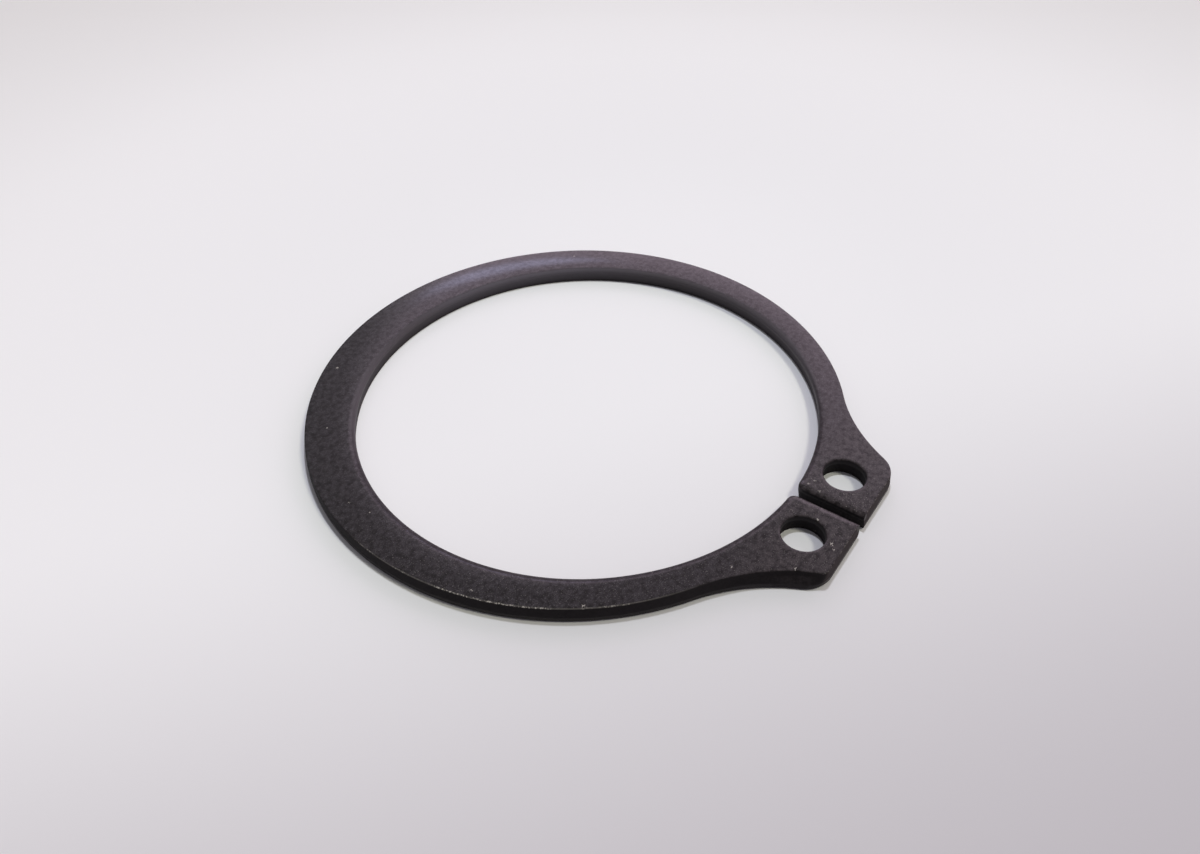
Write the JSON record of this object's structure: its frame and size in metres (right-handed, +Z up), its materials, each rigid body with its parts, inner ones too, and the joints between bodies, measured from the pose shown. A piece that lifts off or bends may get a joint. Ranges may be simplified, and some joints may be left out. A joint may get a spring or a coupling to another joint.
{
  "type": "external retaining ring",
  "caption": "Flat spring-steel retaining ring for a shaft groove: an open, tapered band whose ends blend into lugs with plier holes.",
  "frame": {"origin": "centre of the bore, in the plane of the underside", "axes": "+Z up through the bore, out of the face where the outer edge is nearly square; the gap opens towards -Y; X runs across the gap"},
  "size_m": [0.041, 0.044, 0.0013],
  "materials": {
    "phosphated_steel": "satin, dark phosphate and oil, worn bright along one edge"
  },
  "bodies": {
    "root": {"retaining_ring": "phosphated_steel"}
  },
  "joints": []
}
